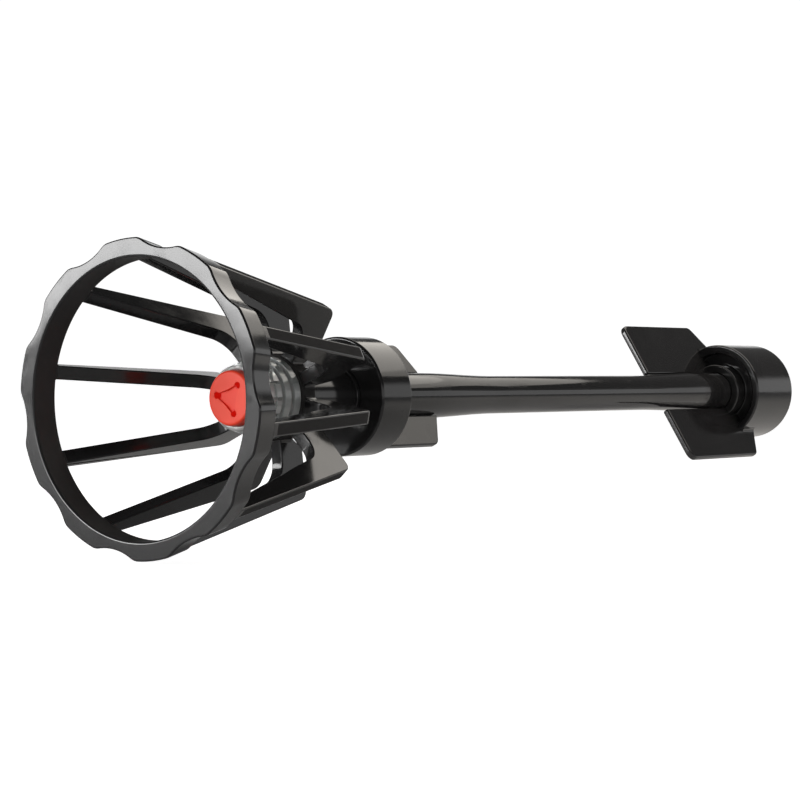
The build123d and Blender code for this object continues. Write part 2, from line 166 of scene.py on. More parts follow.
def turned(name, outline, steps=192, shape=None):
    """A turned solid from a closed (radius, y) outline. shape(radius, y, angle) may move each point."""
    verts = []
    for k in range(steps):
        angle = 2 * math.pi * k / steps
        for radius, y in outline:
            if shape:
                radius, y = shape(radius, y, angle)
            verts.append((radius * math.cos(angle), y, radius * math.sin(angle)))
    rows = len(outline)
    faces = []
    for k in range(steps):
        ahead = (k + 1) % steps
        for i in range(rows):
            j = (i + 1) % rows
            faces.append((k * rows + i, k * rows + j, ahead * rows + j, ahead * rows + i))
    return mesh_object(name, verts, faces)


def flat(name, outline, thickness, edge, angle, steps=4):
    """A flat solid from a closed (radius, y) outline, lying at an angle from +X towards +Z.
    Its edges are rolled over with radius edge."""
    count = len(outline)
    inward = []
    for i in range(count):
        along = (outline[(i + 1) % count] - outline[i - 1]).normalized()
        inward.append(Vector((-along.y, along.x)))
    middle = sum(outline, Vector((0, 0))) / count
    area = sum(a.x * b.y - b.x * a.y for a, b in zip(outline, outline[1:] + outline[:1]))
    if area < 0:
        inward = [-n for n in inward]
    layers = []
    for k in range(steps + 1):
        turn = math.pi / 2 * k / steps
        layers.append((edge * (1 - math.cos(turn)), thickness / 2 - edge + edge * math.sin(turn)))
    layers = [(inset, -height) for inset, height in reversed(layers)] + layers
    verts = []
    spin = Matrix.Rotation(-angle, 3, "Y")
    for inset, height in layers:
        for point, normal in zip(outline, inward):
            spot = point + normal * inset
            verts.append(spin @ Vector((spot.x, spot.y, height)))
    faces = []
    for low in range(0, (len(layers) - 1) * count, count):
        high = low + count
        for i in range(count):
            j = (i + 1) % count
            faces.append((low + i, low + j, high + j, high + i))
    faces.append(tuple(range(count)))
    faces.append(tuple((len(layers) - 1) * count + i for i in range(count)))
    return mesh_object(name, verts, faces)


# %% [markdown]
# A moulding is one piece of plastic, so shapes that belong to one moulding are welded into one skin with
# a Boolean union, and not just pushed into each other. After that the smooth faces are shaded smooth and
# real corners stay crisp. A Weighted Normal modifier keeps the large flat faces flat-looking right up to
# their rolled edges.

# %% Welding and shading
def weld(first, *others):
    """Joins closed shapes into one skin."""
    for other in others:
        union = first.modifiers.new("weld", "BOOLEAN")
        union.operation = "UNION"
        union.solver = "EXACT"
        union.object = other
    keep_result(first)
    for other in others:
        bpy.data.objects.remove(other)
    return first


def keep_result(piece):
    """Makes the result of a piece's modifiers its real mesh."""
    bpy.context.view_layer.update()
    graph = bpy.context.evaluated_depsgraph_get()
    mesh = bpy.data.meshes.new_from_object(piece.evaluated_get(graph))
    piece.modifiers.clear()
    piece.data = mesh
    mesh.name = piece.name


def smooth(piece, corner=38):
    """Smooth shading with crisp corners above an angle in degrees."""
    piece.data.shade_smooth()
    piece.data.set_sharp_from_angle(angle=math.radians(corner))
    weighted = piece.modifiers.new("flat faces stay flat", "WEIGHTED_NORMAL")
    weighted.keep_sharp = True
    return piece


def fit(piece, body, slot, finish, *nodes):
    """Puts a piece on its body, in place of the nodes it stands for, and gives it its finish."""
    piece.data.materials.clear()
    piece.data.materials.append(finish)
    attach(piece, body)
    if nodes:
        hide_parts(*nodes)
    print(piece.name, "faces", len(piece.data.polygons))
    return piece


# %% [markdown]
# ## Camera, light and backdrop
#
# A black glossy thing is drawn by what it mirrors, so the light comes first. The set is a white table in
# a room with low white walls and a dark ceiling: the sides of the tube mirror the table and the walls as
# soft greys, and its upper side mirrors the ceiling as black. One large soft box at the front left lights
# the rim's face and the red disc. Two small warm windows overhead show as the bright bands on the front
# nut, on the crests of the rim and along the tube.

# %% Camera
film_width = 36
lens_length = 109.62
azimuth = math.radians(36.47)
elevation = math.radians(1.29)
roll = math.radians(0.86)
rim_distance = 757.7 * mm
rim_aside = -0.10865
rim_below = -0.00024

level = Vector((math.cos(azimuth), math.sin(azimuth), 0))
forward = Vector((
    -math.sin(azimuth) * math.cos(elevation),
    math.cos(azimuth) * math.cos(elevation),
    -math.sin(elevation),
))
plumb = level.cross(forward)
aside = level * math.cos(roll) + plumb * math.sin(roll)
upward = plumb * math.cos(roll) - level * math.sin(roll)
rim_centre = Vector((0, mouth_y, 0))
eye = rim_centre - rim_distance * (forward + rim_aside * aside - rim_below * upward)

camera_data = bpy.data.cameras.new("camera")
camera_data.sensor_width = film_width
camera_data.lens = lens_length
camera_data.clip_start = 0.01
camera = bpy.data.objects.new("camera", camera_data)
camera.matrix_world = Matrix((
    (aside.x, upward.x, -forward.x, eye.x),
    (aside.y, upward.y, -forward.y, eye.y),
    (aside.z, upward.z, -forward.z, eye.z),
    (0, 0, 0, 1),
))
bpy.context.scene.collection.objects.link(camera)
bpy.context.scene.camera = camera
print("camera at", [round(c, 3) for c in eye], "lens", round(camera_data.lens, 1))


# %% Lights
def soft_box(name, place, aim, width, height, watts):
    """A rectangular soft light at a place, pointing at aim."""
    data = bpy.data.lights.new(name, "AREA")
    data.shape = "RECTANGLE"
    data.size = width
    data.size_y = height
    data.energy = watts
    lamp = bpy.data.objects.new(name, data)
    lamp.location = place
    lamp.rotation_euler = (Vector(aim) - Vector(place)).to_track_quat("-Z", "Y").to_euler()
    bpy.context.scene.collection.objects.link(lamp)
    return lamp


middle = Vector((0, (mouth_y + hose_y) / 2, 0))
front_left = middle + Vector((-1.09, -1.68, 0.48))
level_with_it = Vector((middle.x, middle.y, front_left.z))
soft_box("front_left_box", front_left, level_with_it, 0.9, 0.9, 28.5)
window_height = 0.25
window_width = 0.5
warm_white = (1.0, 0.95, 0.88)
for name, y, depth, watts in (("window_near", 0.02, 0.20, 0.73), ("window_far", 0.185, 0.13, 0.27)):
    place = Vector((0.05, y, window_height))
    window = soft_box(name, place, Vector((place.x, y, 0)), window_width, depth, watts)
    window.data.color = warm_white

# %% [markdown]
# The room around the set is a sky made of nodes: the height of the direction looked in picks the
# brightness. Walls are white up to a low line, about fifteen degrees up, and the ceiling is nearly black.
# Where the camera itself looks past the table it sees plain white.

# %% Room
room = bpy.data.worlds.new("white_room")
room.use_nodes = True
bpy.context.scene.world = room
tree = room.node_tree
tree.nodes.clear()
direction = tree.nodes.new("ShaderNodeTexCoord")
parts = tree.nodes.new("ShaderNodeSeparateXYZ")
ramp = tree.nodes.new("ShaderNodeValToRGB")
spread = tree.nodes.new("ShaderNodeMapRange")
mirrored = tree.nodes.new("ShaderNodeBackground")
seen = tree.nodes.new("ShaderNodeBackground")
path = tree.nodes.new("ShaderNodeLightPath")
choose = tree.nodes.new("ShaderNodeMixShader")
out = tree.nodes.new("ShaderNodeOutputWorld")
spread.inputs["From Min"].default_value = -1.0
spread.inputs["From Max"].default_value = 1.0
stops = [(0.0, 0.95), (0.5, 0.9), (0.61, 0.85), (0.65, 0.10), (1.0, 0.03)]
ramp.color_ramp.elements[0].position = stops[0][0]
ramp.color_ramp.elements[0].color = (stops[0][1],) * 3 + (1,)
ramp.color_ramp.elements[1].position = stops[-1][0]
ramp.color_ramp.elements[1].color = (stops[-1][1],) * 3 + (1,)
for place, grey in stops[1:-1]:
    ramp.color_ramp.elements.new(place).color = (grey, grey, grey, 1)
seen.inputs["Color"].default_value = (1, 1, 1, 1)
seen.inputs["Strength"].default_value = 1.05
tree.links.new(direction.outputs["Generated"], parts.inputs[0])
tree.links.new(parts.outputs["Z"], spread.inputs["Value"])
tree.links.new(spread.outputs["Result"], ramp.inputs["Fac"])
tree.links.new(ramp.outputs["Color"], mirrored.inputs["Color"])
tree.links.new(path.outputs["Is Camera Ray"], choose.inputs["Fac"])
tree.links.new(mirrored.outputs[0], choose.inputs[1])
tree.links.new(seen.outputs[0], choose.inputs[2])
tree.links.new(choose.outputs[0], out.inputs["Surface"])
bpy.context.scene.view_settings.view_transform = "Standard"
print("room ready")

# %% [markdown]
# ## Table
#
# The table is a wide pale sheet just under the rim. It has to be large, because its far edge would
# otherwise show as a line behind the lance. For the same reason it glows a little for the camera alone,
# so that it melts into the white room behind it and still gives the lance the right grey to mirror.

# %% Table
table_z = cad_box[0][2] - 0.5 * mm
table_reach = 8
around = ((-1, -1), (1, -1), (1, 1), (-1, 1))
table_corners = [(table_reach * x, table_reach * y, table_z) for x, y in around]
table = mesh_object("table", table_corners, [(0, 1, 2, 3)])
paint = bpy.data.materials.new("table_paint")
paint.use_nodes = True
table_tree = paint.node_tree
skin = table_tree.nodes["Principled BSDF"]
skin.inputs["Base Color"].default_value = (0.78, 0.78, 0.78, 1)
skin.inputs["Roughness"].default_value = 0.6
skin.inputs["Emission Color"].default_value = (1, 1, 1, 1)
glance = table_tree.nodes.new("ShaderNodeLightPath")
glow = table_tree.nodes.new("ShaderNodeMapRange")
glow.inputs["To Min"].default_value = 0.05
glow.inputs["To Max"].default_value = 0.90
table_tree.links.new(glance.outputs["Is Camera Ray"], glow.inputs["Value"])
table_tree.links.new(glow.outputs["Result"], skin.inputs["Emission Strength"])
table.data.materials.append(paint)

# %% [markdown]
# ## Finishes
#
# Moulded plastic is smooth but not perfect. Two things give it away: it waves very slightly over a few
# millimetres, where the plastic shrank as it cooled, and its gloss is broken by fine hairlines and dust.
# These effects are wanted on every plastic part, so they are made once as node groups. A group hands out
# only heights and masks, and the shader itself stays in each material.

# %% Node helpers
def group_of(name, inputs, outputs):
    """A new shader node group with named float sockets."""
    group = bpy.data.node_groups.new(name, "ShaderNodeTree")
    for label, value in inputs:
        socket = group.interface.new_socket(label, in_out="INPUT", socket_type="NodeSocketFloat")
        socket.default_value = value
    for label in outputs:
        group.interface.new_socket(label, in_out="OUTPUT", socket_type="NodeSocketFloat")
    return group, group.nodes.new("NodeGroupInput"), group.nodes.new("NodeGroupOutput")


def maths(tree, operation, a, b=None):
    """A Math node; a and b are sockets or plain numbers."""
    node = tree.nodes.new("ShaderNodeMath")
    node.operation = operation
    for value, socket in zip((a, b), node.inputs):
        if value is None:
            continue
        if isinstance(value, (int, float)):
            socket.default_value = value
        else:
            tree.links.new(value, socket)
    return node.outputs[0]


def cloud(tree, place, scale, detail=2.0, rough=0.5):
    """A noise texture; place and scale are sockets, or scale is a number."""
    node = tree.nodes.new("ShaderNodeTexNoise")
    node.inputs["Detail"].default_value = detail
    node.inputs["Roughness"].default_value = rough
    tree.links.new(place, node.inputs["Vector"])
    if isinstance(scale, (int, float)):
        node.inputs["Scale"].default_value = scale
    else:
        tree.links.new(scale, node.inputs["Scale"])
    return node.outputs["Fac"]


def stretched(tree, x, y, z):
    """Object coordinates scaled by three numbers."""
    place = tree.nodes.new("ShaderNodeTexCoord")
    scaled = tree.nodes.new("ShaderNodeVectorMath")
    scaled.operation = "MULTIPLY"
    scaled.inputs[1].default_value = (x, y, z)
    tree.links.new(place.outputs["Object"], scaled.inputs[0])
    return scaled.outputs[0]


def product(tree, *values):
    """The product of sockets and plain numbers."""
    total = values[0]
    for value in values[1:]:
        total = maths(tree, "MULTIPLY", total, value)
    return total


def from_axis(tree):
    """Radius, X, Y and Z of the shaded point, measured from the lance's axis."""
    place = tree.nodes.new("ShaderNodeTexCoord")
    spot = tree.nodes.new("ShaderNodeSeparateXYZ")
    tree.links.new(place.outputs["Object"], spot.inputs[0])
    x, y, z = spot.outputs
    radius = maths(tree, "SQRT", maths(tree, "ADD", product(tree, x, x), product(tree, z, z)))
    return radius, x, y, z


def new_finish(name):
    """A new material with its node tree and its shader."""
    finish = bpy.data.materials.new(name)
    finish.use_nodes = True
    return finish, finish.node_tree, finish.node_tree.nodes["Principled BSDF"]


def raised(tree, shader, height, strength, distance):
    """Lets a height socket bend the shader's normal."""
    relief = tree.nodes.new("ShaderNodeBump")
    relief.inputs["Strength"].default_value = strength
    relief.inputs["Distance"].default_value = distance
    tree.links.new(height, relief.inputs["Height"])
    tree.links.new(relief.outputs["Normal"], shader.inputs["Normal"])


# %% The moulded skin group
skin_group, given, given_out = group_of(
    "moulded_skin",
    [("Wave Size", 90.0), ("Grain Size", 2600.0), ("Wave Depth", 1.0), ("Grain Depth", 0.04)],
    ["Height", "Gloss Change"],
)
place = stretched(skin_group, 1, 1, 1)
waves = cloud(skin_group, place, given.outputs["Wave Size"], 1.5)
grain = cloud(skin_group, place, given.outputs["Grain Size"], 2.0)
lift = maths(skin_group, "MULTIPLY", waves, given.outputs["Wave Depth"])
fine = maths(skin_group, "MULTIPLY", grain, given.outputs["Grain Depth"])
skin_group.links.new(maths(skin_group, "ADD", lift, fine), given_out.inputs["Height"])
patchy = cloud(skin_group, place, 160.0, 3.0, 0.6)
skin_group.links.new(maths(skin_group, "SUBTRACT", patchy, 0.5), given_out.inputs["Gloss Change"])

# %% The hairline group
hair_group, given, given_out = group_of("hairlines", [("Amount", 0.5)], ["Mask"])
lines = None
for stretch in ((500, 60, 500), (90, 420, 500), (420, 500, 70)):
    layer = cloud(hair_group, stretched(hair_group, *stretch), 4.0, 3.0, 0.6)
    near_level = maths(hair_group, "ABSOLUTE", maths(hair_group, "SUBTRACT", layer, 0.5))
    thin = maths(hair_group, "LESS_THAN", near_level, 0.004)
    lines = thin if lines is None else maths(hair_group, "MAXIMUM", lines, thin)
where = cloud(hair_group, stretched(hair_group, 1, 1, 1), 70.0, 2.0)
some = maths(hair_group, "GREATER_THAN", where, 0.56)
kept = maths(hair_group, "MULTIPLY", lines, some)
hair_group.links.new(maths(hair_group, "MULTIPLY", kept, given.outputs["Amount"]), given_out.inputs["Mask"])

# %% The dust group
dust_group, given, given_out = group_of("settled_dust", [("Amount", 0.5)], ["Mask"])
specks = cloud(dust_group, stretched(dust_group, 1, 1, 1), 1500.0, 1.0)
rare = maths(dust_group, "GREATER_THAN", specks, 0.74)
drift = cloud(dust_group, stretched(dust_group, 1, 1, 1), 45.0, 3.0)
haze = maths(dust_group, "MULTIPLY", drift, 0.12)
both = maths(dust_group, "ADD", rare, haze)
dust_group.links.new(maths(dust_group, "MULTIPLY", both, given.outputs["Amount"]), given_out.inputs["Mask"])
print("groups", [g.name for g in bpy.data.node_groups])


# %% [markdown]
# The black plastic is one recipe with a few settings, because the mouldings, the tube and the nylon
# rings differ only in colour, gloss and how wavy they are.

# %% Plastic finish
def use_group(tree, group, **values):
    """Places a node group with its own values."""
    node = tree.nodes.new("ShaderNodeGroup")
    node.node_tree = group
    for label, value in values.items():
        node.inputs[label.replace("_", " ")].default_value = value
    return node


def mixed(tree, share, first, second):
    """A colour between two colours; share is a socket."""
    node = tree.nodes.new("ShaderNodeMix")
    node.data_type = "RGBA"
    node.inputs["A"].default_value = (*first, 1)
    node.inputs["B"].default_value = (*second, 1)
    tree.links.new(share, node.inputs["Factor"])
    return node.outputs["Result"]


def tinted(tree, share, shade, colour):
    """Moves a colour socket towards a plain colour by a share."""
    node = tree.nodes.new("ShaderNodeMix")
    node.data_type = "RGBA"
    node.inputs["B"].default_value = (*colour, 1)
    tree.links.new(share, node.inputs["Factor"])
    tree.links.new(shade, node.inputs["A"])
    return node.outputs["Result"]


def plastic(name, colour, worn_colour, roughness, wave_depth=1.0, bump=0.02, hair=0.5, dust=0.3,
            satin=None, satin_colour=None, hollow=None, painted_shade_colour=None, **extra):
    """Moulded plastic with waves, grain, hairlines and a little dust. satin is a group whose mask marks
    textured faces; hollow is one whose mask marks where shade is painted in: a darker colour and a faint
    painted red glow."""
    finish, tree, shader = new_finish(name)
    moulded = use_group(tree, skin_group, Wave_Depth=wave_depth)
    scratched = use_group(tree, hair_group, Amount=hair)
    dusty = use_group(tree, dust_group, Amount=dust)
    marks = maths(tree, "MAXIMUM", scratched.outputs["Mask"], dusty.outputs["Mask"])
    shade = mixed(tree, marks, colour, worn_colour)
    # Painted shade: where the mask is, the colour is darkened and a faint red glow is painted on as
    # emission. The glow stands in for light seen through the plastic.
    if hollow:
        painted_shade_mask = use_group(tree, hollow).outputs["Mask"]
        shade = tinted(tree, painted_shade_mask, shade, painted_shade_colour)
        painted_glow = mixed(tree, painted_shade_mask, (0, 0, 0), tuple(0.35 * c for c in painted_shade_colour))
        tree.links.new(painted_glow, shader.inputs["Emission Color"])
        shader.inputs["Emission Strength"].default_value = 1.0
    if satin:
        textured = use_group(tree, satin).outputs["Mask"]
        shade = tinted(tree, textured, shade, satin_colour)
    tree.links.new(shade, shader.inputs["Base Color"])
    rougher = maths(tree, "MULTIPLY", moulded.outputs["Gloss Change"], 0.12)
    scuffed = maths(tree, "MULTIPLY", marks, 0.25)
    level = maths(tree, "ADD", maths(tree, "ADD", rougher, scuffed), roughness)
    if satin:
        level = maths(tree, "ADD", level, product(tree, textured, 0.85))
    tree.links.new(level, shader.inputs["Roughness"])
    dented = maths(tree, "SUBTRACT", moulded.outputs["Height"], scratched.outputs["Mask"])
    raised(tree, shader, dented, bump, mm)
    for label, value in extra.items():
        shader.inputs[label.replace("_", " ")].default_value = value
    return finish


# %% [markdown]
# Some places are marked by where they are. The outer faces of the ribs lie on one cone behind the rim.
# The mould has a fine texture there inside a polished border, and again in the rim's bore and on the
# hub's ring. In the jet disc, shade is painted into the jets and a little into the recess, as a darker red
# with a faint painted glow.

# %% Place helpers
def span(tree, value, low, high):
    """0 below low, 1 above high, and a straight ramp between."""
    ramp = tree.nodes.new("ShaderNodeMapRange")
    ramp.inputs["From Min"].default_value = low
    ramp.inputs["From Max"].default_value = high
    tree.links.new(value, ramp.inputs["Value"])
    return ramp.outputs["Result"]


def within(tree, value, low, high):
    """1 below low, 0 above high: the opposite of span."""
    return maths(tree, "SUBTRACT", 1.0, span(tree, value, low, high))


def spoke_place(tree, first_angle, count):
    """Radius, Y, and the place across and along the nearest of count equal spokes."""
    radius, x, y, z = from_axis(tree)
    turn = maths(tree, "SUBTRACT", maths(tree, "ARCTAN2", z, x), first_angle)
    near = tree.nodes.new("ShaderNodeMath")
    near.operation = "WRAP"
    tree.links.new(turn, near.inputs[0])
    near.inputs[1].default_value = math.pi / count
    near.inputs[2].default_value = -math.pi / count
    across = maths(tree, "ABSOLUTE", product(tree, radius, maths(tree, "SINE", near.outputs[0])))
    outward = product(tree, radius, maths(tree, "COSINE", near.outputs[0]))
    return radius, y, across, outward


# %% Textured faces of the cage
rib_count = 10
crest_radius = 50.7 * mm
cage_rear_radius = 34.2 * mm
rim_inner = 44.4 * mm
cage_rear = 77.4
first_rib = math.radians(-9.7)
rib_thickness = 4.6 * mm
hub_radius = 14.4 * mm
slope = (crest_radius - cage_rear_radius) / (cage_rear * mm)
texture_group, given, given_out = group_of("mould_texture", [], ["Mask"])
tree = texture_group
radius, y, across, outward = spoke_place(tree, first_rib, rib_count)
cone = maths(tree, "SUBTRACT", crest_radius + slope * mouth_y, product(tree, y, slope))
from_cone = maths(tree, "ABSOLUTE", maths(tree, "SUBTRACT", cone, radius))
on_rib = product(
    tree,
    within(tree, from_cone, 0.08 * mm, 0.16 * mm),
    within(tree, across, rib_thickness / 2 - 0.6 * mm, rib_thickness / 2 - 0.45 * mm),
    span(tree, y, at(12.0), at(12.4)),
    within(tree, y, at(cage_rear - 2.8), at(cage_rear - 2.6)),
)
from_bore = maths(tree, "ABSOLUTE", maths(tree, "SUBTRACT", radius, rim_inner))
in_bore = product(
    tree,
    within(tree, from_bore, 0.1 * mm, 0.4 * mm),
    within(tree, y, at(10.2), at(10.6)),
    0.5,
)
on_hub = product(
    tree,
    span(tree, radius, 11.2 * mm, 11.6 * mm),
    within(tree, radius, hub_radius + 0.2 * mm, hub_radius + 0.4 * mm),
    span(tree, y, at(60), at(61)),
    within(tree, y, at(72.2), at(72.6)),
)
marked = maths(tree, "MAXIMUM", on_rib, maths(tree, "MAXIMUM", in_bore, on_hub))
tree.links.new(marked, given_out.inputs["Mask"])

# %% Painted shade of the jet disc
disc_front = 44.8
jet_count = 3
jet_circle = 5.4 * mm
first_jet = math.radians(51.6)
# Mask for painted shade: full in the jets, and a third as strong in the recess.
painted_shade_group, given, given_out = group_of("disc_painted_shade", [], ["Mask"])
tree = painted_shade_group
radius, y, across, outward = spoke_place(tree, first_jet, jet_count)
beyond = maths(tree, "SUBTRACT", outward, jet_circle)
from_jet_squared = maths(tree, "ADD", product(tree, beyond, beyond), product(tree, across, across))
from_jet = maths(tree, "SQRT", from_jet_squared)
sunk = span(tree, y, at(disc_front + 0.2), at(disc_front + 0.7))
recess_painted_shade = product(tree, within(tree, radius, 7.0 * mm, 7.5 * mm), sunk, 0.3)
below_face = span(tree, y, at(disc_front + 0.1), at(disc_front + 0.4))
jet_painted_shade = product(tree, within(tree, from_jet, 1.55 * mm, 1.8 * mm), below_face)
tree.links.new(maths(tree, "MAXIMUM", recess_painted_shade, jet_painted_shade), given_out.inputs["Mask"])

# %% Plastics
black = (0.018, 0.0175, 0.018)
scuffed_black = (0.075, 0.075, 0.078)
black_moulding = plastic(
    "black_moulding", black, scuffed_black, 0.11, bump=0.04, hair=0.2, dust=0.05,
    satin=texture_group, satin_colour=(0.022, 0.0205, 0.02),
)
black_tube = plastic(
    "black_tube", black, scuffed_black, 0.07, wave_depth=0.6, bump=0.05, hair=0.15, dust=0.08,
)
# The red disc gets painted shade in its jets and recess: a darker red and a faint painted glow.
red_plastic = plastic(
    "red_plastic", (0.97, 0.062, 0.026), (0.97, 0.22, 0.15), 0.42, bump=0.10, hair=0.1, dust=0.05,
    hollow=painted_shade_group, painted_shade_colour=(0.62, 0.012, 0.006), Specular_IOR_Level=0.3,
)
black_nylon = plastic("black_nylon", (0.03, 0.03, 0.03), (0.09, 0.09, 0.09), 0.42, bump=0.2)
white_acetal = plastic("white_acetal", (0.8, 0.79, 0.75), (0.6, 0.58, 0.54), 0.36, bump=0.12)
print("plastics", black_moulding.name, black_tube.name, red_plastic.name)

# %% [markdown]
# The housing is clear plastic with a refractive index near 1.57, clouded a little by lime and wear. So a
# third of it is plain pale plastic, and a slight haze keeps it from looking like cut crystal.

# %% Clear plastic
clear_plastic, tree, shader = new_finish("clear_plastic")
shader.inputs["Transmission Weight"].default_value = 0.65
shader.inputs["IOR"].default_value = 1.57
moulded = use_group(tree, skin_group, Wave_Size=220.0, Wave_Depth=1.0)
hazy = maths(tree, "ADD", maths(tree, "MULTIPLY", moulded.outputs["Gloss Change"], 0.10), 0.06)
tree.links.new(maths(tree, "MAXIMUM", hazy, 0.01), shader.inputs["Roughness"])
tint = mixed(tree, moulded.outputs["Height"], (0.97, 0.99, 0.98), (0.90, 0.95, 0.93))
tree.links.new(tint, shader.inputs["Base Color"])
raised(tree, shader, moulded.outputs["Height"], 0.25, mm)


# %% [markdown]
# Rubber is matt with a soft grain. Turned metal has fine rings round its axis, so its roughness and its
# relief follow the radius.

# %% Rubber and metal
def rubber(name, colour):
    """Matt rubber with a fine grain and a pale bloom."""
    finish, tree, shader = new_finish(name)
    moulded = use_group(tree, skin_group, Grain_Size=3500.0, Grain_Depth=1.0)
    bloom = tuple(min(1, 2.5 * c + 0.01) for c in colour)
    tree.links.new(mixed(tree, moulded.outputs["Height"], colour, bloom), shader.inputs["Base Color"])
    level = maths(tree, "ADD", maths(tree, "MULTIPLY", moulded.outputs["Gloss Change"], 0.3), 0.62)
    tree.links.new(level, shader.inputs["Roughness"])
    raised(tree, shader, moulded.outputs["Height"], 0.5, 0.5 * mm)
    return finish


def turned_metal(name, colour, roughness):
    """Metal with the fine rings of a lathe round the Y axis."""
    finish, tree, shader = new_finish(name)
    shader.inputs["Metallic"].default_value = 1.0
    radius, x, y, z = from_axis(tree)
    ring = tree.nodes.new("ShaderNodeCombineXYZ")
    tree.links.new(radius, ring.inputs["X"])
    tree.links.new(y, ring.inputs["Y"])
    grooves = cloud(tree, ring.outputs[0], 9000.0, 2.0)
    dark = tuple(0.72 * c for c in colour)
    tree.links.new(mixed(tree, grooves, dark, colour), shader.inputs["Base Color"])
    level = maths(tree, "ADD", maths(tree, "MULTIPLY", grooves, 0.18), roughness)
    tree.links.new(level, shader.inputs["Roughness"])
    raised(tree, shader, grooves, 0.25, 0.2 * mm)
    return finish


seal_rubber = rubber("seal_rubber", (0.018, 0.018, 0.018))
washer_rubber = rubber("washer_rubber", (0.045, 0.045, 0.047))
bush_brass = turned_metal("bush_brass", (0.78, 0.58, 0.27), 0.18)
stainless = turned_metal("stainless", (0.66, 0.66, 0.67), 0.16)

# %% [markdown]
# ## Parts that stay as designed
#
# The seals, washers, bearing and turbine are small and mostly out of sight, and their design meshes are
# already right. They only need their finish.

# %% Finishes for the small parts
finishes = {
    "black_moulding": black_moulding,
    "black_tube": black_tube,
    "red_plastic": red_plastic,
    "clear_plastic": clear_plastic,
    "black_nylon": black_nylon,
    "white_acetal": white_acetal,
    "seal_rubber": seal_rubber,
    "washer_rubber": washer_rubber,
    "bush_brass": bush_brass,
    "stainless": stainless,
}
for entry in frame["record"]["subparts"]:
    node = frame["nodes"][entry["node"]]
    node.data.materials.clear()
    node.data.materials.append(finishes[entry["material_slot"]])
print("dressed", len(frame["nodes"]), "nodes")

# %% [markdown]
# ## Fillets where plates meet walls
#
# A moulder never leaves a sharp inside corner: it would crack there. Where a rib or a wing stands on a
# wall the corner is filled with a small hollow curve. Each fillet here is a thin strip with a hollow
# side, laid along the corner and welded in with the rest.

# %% Fillet strips
def fillet_strip(name, start, end, wall_a, wall_b, size, sink=0.15 * mm, steps=5):
    """A strip along a corner; wall_a and wall_b point away from the corner along the two walls."""
    section = [(-sink, -sink), (size, -sink)]
    for k in range(steps + 1):
        turn = math.pi / 2 * k / steps
        section.append((size - size * math.sin(turn), size - size * math.cos(turn)))
    section.append((-sink, size))
    near_end = [start + wall_a * u + wall_b * v for u, v in section]
    far_end = [end + wall_a * u + wall_b * v for u, v in section]
    return bar(name, near_end, far_end)


def spokes(angle):
    """Outward and sideways directions of a plate at an angle from +X towards +Z."""
    outward = Vector((math.cos(angle), 0, math.sin(angle)))
    sideways = Vector((-math.sin(angle), 0, math.cos(angle)))
    return outward, sideways


def sides(angle, half_thickness):
    """For each side of a plate: the plate's outward direction, the way the side faces, and its foot."""
    outward, sideways = spokes(angle)
    return [(outward, sideways * side, sideways * side * half_thickness) for side in (1, -1)]


def chord(radius, half_thickness):
    """How far out the side of a plate meets a round wall."""
    return math.sqrt(radius ** 2 - half_thickness ** 2)


along = Vector((0, 1, 0))

# %% [markdown]
# ## The guard cage
#
# The cage keeps the jet off walls and fingers. Rim, ten ribs and hub come out of one mould, so they are
# one piece here. The rim's outside has ten flat crests, one at each rib, and a hollow between each two.
# The hollow is an arc through the ends of two crests and a dip half-way. Its corners are softened by
# taking the mean over a small angle, which is what a rounded cutter would have left in the mould.

# %% The rim
rim_depth = 10 * mm
rim_rear = mouth_y + rim_depth
flute_depth = 2.4 * mm
lobe_pitch = 2 * math.pi / rib_count
half_crest = math.radians(8.5)

half_gap = lobe_pitch / 2 - half_crest
chord_x = crest_radius * math.cos(half_gap)
chord_y = crest_radius * math.sin(half_gap)
dip_x = crest_radius - flute_depth
arc_radius = (chord_y ** 2 + (chord_x - dip_x) ** 2) / (2 * (chord_x - dip_x))
arc_centre = dip_x + arc_radius


def crest_share(angle):
    """Outer radius at an angle as a share of the crest radius, before softening."""
    off = (angle - first_rib + lobe_pitch / 2) % lobe_pitch - lobe_pitch / 2
    if abs(off) <= half_crest:
        return 1.0
    turn = lobe_pitch / 2 - abs(off)
    near = arc_centre * math.cos(turn)
    return (near - math.sqrt(near ** 2 - arc_centre ** 2 + arc_radius ** 2)) / crest_radius


def soft_share(angle):
    spread = math.radians(1.3)
    return sum(crest_share(angle + spread * k / 3) for k in range(-3, 4)) / 7


rear_crest = crest_radius - slope * rim_depth
rim_outline = rounded([
    (rim_inner, at(0), 0.8 * mm),
    (crest_radius, at(0), 0.6 * mm),
    (rear_crest, rim_rear, 0.35 * mm),
    (rim_inner, rim_rear, 0.5 * mm),
], 5)


def fluted(radius, y, angle):
    """Pulls the outer side of the rim in between the crests and leaves the bore round."""
    share = min(max((radius - rim_inner - 1.2 * mm) / (rear_crest - rim_inner - 2.4 * mm), 0), 1)
    return radius * (1 + (soft_share(angle) - 1) * share), y


rim = turned("guard_cage", rim_outline, 720, fluted)

# %% [markdown]
# Each rib is a flat bar that runs in from the rim, bends, and becomes a web down to the hub ring.

